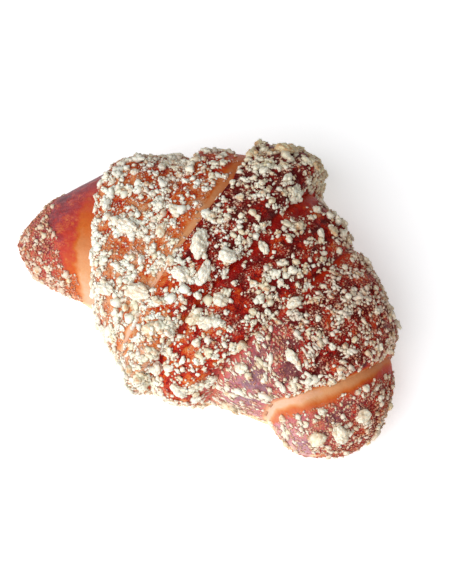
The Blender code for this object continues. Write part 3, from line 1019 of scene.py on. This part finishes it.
class Group(Nodes):
    def __init__(self, name, sizes):
        super().__init__(bpy.data.node_groups.new(name, "GeometryNodeTree"))
        face = self.tree.interface
        face.new_socket("Geometry", in_out="INPUT", socket_type="NodeSocketGeometry")
        face.new_socket("Geometry", in_out="OUTPUT", socket_type="NodeSocketGeometry")
        for key in sizes:
            face.new_socket(key, in_out="INPUT", socket_type="NodeSocketFloat")
        face.new_socket("Seed", in_out="INPUT", socket_type="NodeSocketInt")
        self.given = self.put("NodeGroupInput").outputs

    def named(self, name, kind="FLOAT"):
        node = self.put("GeometryNodeInputNamedAttribute", {"Name": name}, data_type=kind)
        return node.outputs["Attribute"]

    def draw(self, number, low=0.0, high=1.0):
        inputs = {"Min": low, "Max": high, "Seed": number}
        kind = "FLOAT_VECTOR" if isinstance(low, tuple) else "FLOAT"
        node = self.put("FunctionNodeRandomValue", data_type=kind)
        outputs = [item for item in node.outputs if item.enabled]
        for item in node.inputs:
            if item.enabled and item.name in inputs:
                item.default_value = inputs[item.name]
        return outputs[0]

    def scaled(self, vector, by):
        return self.put("ShaderNodeVectorMath", {0: vector, "Scale": by}, operation="SCALE").outputs[0]


def scatterTree(name, look, pile, material):
    sizes = {
        "Spacing": look["spacing"], "Per area": look["perArea"], "Smallest": look["smallest"],
        "Largest": look["largest"], "Flat": crumbDraws["flat"], "Lift": look["lift"],
    }
    group = Group(name, sizes)
    given = group.given
    points = group.put("GeometryNodeDistributePointsOnFaces", {
        "Mesh": given["Geometry"], "Distance Min": given["Spacing"],
        "Density Max": given["Per area"], "Density Factor": group.named(look["cover"]),
        "Seed": given["Seed"],
    }, distribute_method="POISSON").outputs
    drag = group.named("drag")
    few = group.math("POWER", group.draw(1), crumbDraws["rarity"])
    size = group.spread(few, 0.0, 1.0, given["Smallest"], given["Largest"])
    size = group.times(size, group.named("size"))
    uneven = group.draw(2, crumbDraws["least"], crumbDraws["most"])
    length = group.plus(1.0, drag, crumbDraws["drawnOut"])
    drawn = group.put("ShaderNodeCombineXYZ", {0: length, 1: 1.0, 2: given["Flat"]}).outputs[0]
    scale = group.put("ShaderNodeVectorMath", {0: uneven, 1: drawn}, operation="MULTIPLY").outputs[0]
    free = group.math("SUBTRACT", 1.0, drag)
    turned = group.times(group.draw(3, -math.pi, math.pi), free)
    standing = group.put("FunctionNodeAxesToRotation", {
        "Primary Axis": points["Normal"], "Secondary Axis": group.named("flow", "FLOAT_VECTOR"),
    }, primary_axis="Z", secondary_axis="X").outputs[0]
    rotation = group.put("FunctionNodeRotateRotation", {
        "Rotation": standing,
        "Rotate By": group.put("ShaderNodeCombineXYZ", {2: turned}).outputs[0],
    }, rotation_space="LOCAL").outputs[0]
    lift = group.scaled(points["Normal"], group.times(size, given["Lift"]))
    raised = group.put("GeometryNodeSetPosition", {"Geometry": points["Points"], "Offset": lift})
    shapes = group.put("GeometryNodeCollectionInfo", {
        "Collection": pile, "Separate Children": True, "Reset Children": True,
    })
    crumbs = group.put("GeometryNodeInstanceOnPoints", {
        "Points": raised.outputs[0], "Instance": shapes.outputs[0], "Pick Instance": True,
        "Rotation": rotation, "Scale": group.scaled(scale, size),
    })
    toned = group.put("GeometryNodeStoreNamedAttribute", {
        "Geometry": crumbs.outputs[0], "Name": "tone", "Value": group.draw(4),
    }, data_type="FLOAT", domain="INSTANCE")
    real = group.put("GeometryNodeRealizeInstances", {"Geometry": toned.outputs[0]})
    painted = group.put("GeometryNodeSetMaterial", {"Geometry": real.outputs[0], "Material": material})
    group.put("NodeGroupOutput", {0: painted.outputs[0]})
    return group.tree, sizes


def scatterCrumbs(name, crust, material):
    look = scatters[name]
    pile = makeCrumbShapes(name + "Shape", look)
    tree, sizes = scatterTree(name, look, pile, material)
    modifier = crust.modifiers.new(name, "NODES")
    modifier.node_group = tree
    for item in tree.interface.items_tree:
        if item.in_out == "INPUT" and item.name in sizes:
            modifier[item.identifier] = sizes[item.name]
        if item.in_out == "INPUT" and item.name == "Seed":
            modifier[item.identifier] = look["seed"]
    evaluated = crust.evaluated_get(bpy.context.evaluated_depsgraph_get())
    mesh = bpy.data.meshes.new_from_object(evaluated)
    mesh.name = name
    restOnTray(mesh)
    crust.modifiers.remove(modifier)
    for shape in list(pile.objects):
        bpy.data.objects.remove(shape)
    bpy.data.collections.remove(pile)
    return addObject(name, mesh)


# how far each kind has taken the crust's colour all over, and at its foot, darker there partly as
# painted shade
crumbTones = {
    "clumpCrumb": (0.0, 0.4),
    "coarseCrumb": (0.0, 0.5),
    "mediumCrumb": (0.1, 0.6),
    "fineCrumb": (0.75, 0.9),
    "grainCrumb": (1.0, 1.0),
}


def crumbMaterial(name):
    look, crusted, soaked = crumbLook, *crumbTones[name]
    tree = Material(name)
    place = tree.objectPlace()
    tone = tree.attribute("tone")
    yellow = tree.spread(tone, *look["yellowFrom"], 0.0, look["yellow"])
    yellow = tree.plus(yellow, tree.attribute("warm"), look["yellowByWarmth"])
    colour = tree.blend(tree.math("MINIMUM", yellow, 1.0), look["cream"], look["butter"])
    mixed = tree.spread(tree.noise(*look["mixing"], place), *look["mixedEdge"], look["leastMixed"])
    toasted = tree.math("ADD", tree.attribute("toast"), crusted)
    toasted = tree.math("MINIMUM", tree.times(mixed, toasted), 1.0)
    colour = tree.blend(toasted, colour, look["crusted"])
    patches = tree.spread(tree.noise(*look["brownPatches"], place), *look["brownEdge"])
    brown = tree.times(patches, tree.spread(tone, *look["brownFrom"], *look["brown"]))
    colour = tree.blend(brown, colour, look["browned"])
    if name == "clumpCrumb":
        # painted shade: the creases between the beads darker
        creases = tree.times(tree.attribute("creaseShade"), look["creaseShare"])
        colour = tree.blend(creases, colour, look["creaseShade"])
    # darker towards the foot: partly crust colour taken up, partly painted shade under the crumb
    foot = tree.spread(tree.attribute("rise"), *look["footEdge"])
    colour = tree.blend(tree.times(foot, soaked), colour, look["soaked"])
    strength, depth = look["grainDepth"]
    return tree.finish({
        "Base Color": colour, "Roughness": look["roughness"], "Subsurface Weight": look["subsurface"],
        "Subsurface Radius": look["subsurfaceRadius"], "Subsurface Scale": look["subsurfaceScale"],
        "Normal": tree.bump(tree.noise(*look["grain"], place), strength, depth),
    })


# Stage
stageLook = {
    "azimuth": 33.0,
    "elevation": 65.0,
    "distance": 0.45,
    "focal": 77.1,
    "sensor": 36.0,
    "target": Vector((-9.6, -18.9, 18.0)) * mm,
    "right": 17.4 * mm,  # how far the picture's middle is from the target
    "up": 3.1 * mm,
    "nearest": 0.01,
    "floorReach": 3.0,
    "floorDrop": 0.2 * mm,
    "floor": (0.95, 0.95, 0.95, 1.0),
    "floorRoughness": 0.9,
    "white": (1.0, 1.0, 1.0, 1.0),
    "floorGlow": 0.42,
    "world": 0.27,
    "keyPower": 18.6,
    "keySize": 1.4,
    "keyDistance": 1.2,
    "keyColour": (0.96, 0.97, 1.0),
    "keyFrom": (-0.55, -0.65, 0.75),  # to the right, away along the floor and up, as the camera sees
}


def viewAxes(azimuth, elevation):
    a, e = math.radians(azimuth), math.radians(elevation)
    right = Vector((math.cos(a), math.sin(a), 0.0))
    back = Vector((math.sin(a) * math.cos(e), -math.cos(a) * math.cos(e), math.sin(e)))
    return right, back.cross(right), back


def makeStage():
    look = stageLook
    right, up, back = viewAxes(look["azimuth"], look["elevation"])
    lens = bpy.data.cameras.new("photoCamera")
    lens.lens = look["focal"]
    lens.sensor_width = look["sensor"]
    lens.clip_start = look["nearest"]
    camera = addObject("photoCamera", lens)
    target = look["target"] + right * look["right"] + up * look["up"]
    camera.location = target + back * look["distance"]
    camera.rotation_mode = "QUATERNION"
    camera.rotation_quaternion = Matrix((right, up, back)).transposed().to_quaternion()
    bpy.context.scene.camera = camera

    mesh = bpy.data.meshes.new("floor")
    reach = look["floorReach"]
    corners = [(-reach, -reach, 0.0), (reach, -reach, 0.0), (reach, reach, 0.0), (-reach, reach, 0.0)]
    mesh.from_pydata(corners, [], [(0, 1, 2, 3)])
    floor = addObject("floor", mesh)
    floor.location.z = -look["floorDrop"]
    mesh.materials.append(Material("floorMaterial").finish({
        "Base Color": look["floor"], "Roughness": look["floorRoughness"],
        "Emission Color": look["white"], "Emission Strength": look["floorGlow"],
    }))

    world = bpy.data.worlds.new("studio")
    world.use_nodes = True
    background = world.node_tree.nodes["Background"]
    background.inputs["Color"].default_value = look["white"]
    background.inputs["Strength"].default_value = look["world"]
    bpy.context.scene.world = world

    lamp = bpy.data.lights.new("keyLight", "AREA")
    lamp.shape = "DISK"
    lamp.size = look["keySize"]
    lamp.energy = look["keyPower"]
    lamp.color = look["keyColour"]
    key = addObject("keyLight", lamp)
    flatUp = Vector((up.x, up.y, 0.0)).normalized()
    sideways, away, above = look["keyFrom"]
    direction = (sideways * right + away * flatUp + Vector((0.0, 0.0, above))).normalized()
    key.location = look["target"] + direction * look["keyDistance"]
    key.rotation_mode = "QUATERNION"
    key.rotation_quaternion = direction.to_track_quat("Z", "Y")
    bpy.context.scene.view_settings.view_transform = "Standard"


makeStage()
print("stage: camera, floor and light")

crust = makeCrust()
crust.data.materials.append(crustMaterial())
print("crust:", len(crust.data.polygons), "faces")

clumps = makeClumps()
clumps.data.materials.append(crumbMaterial("clumpCrumb"))
pieces = [clumps]
print("clumps:", len(clumps.data.polygons), "faces")
for name, look in scatters.items():
    piece = scatterCrumbs(name, crust, crumbMaterial(look["material"]))
    pieces.append(piece)
    print(name, len(piece.data.polygons), "faces")

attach(crust, "root")
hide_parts("roll")
for piece in pieces:
    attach(piece, "root")
    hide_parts("roll")
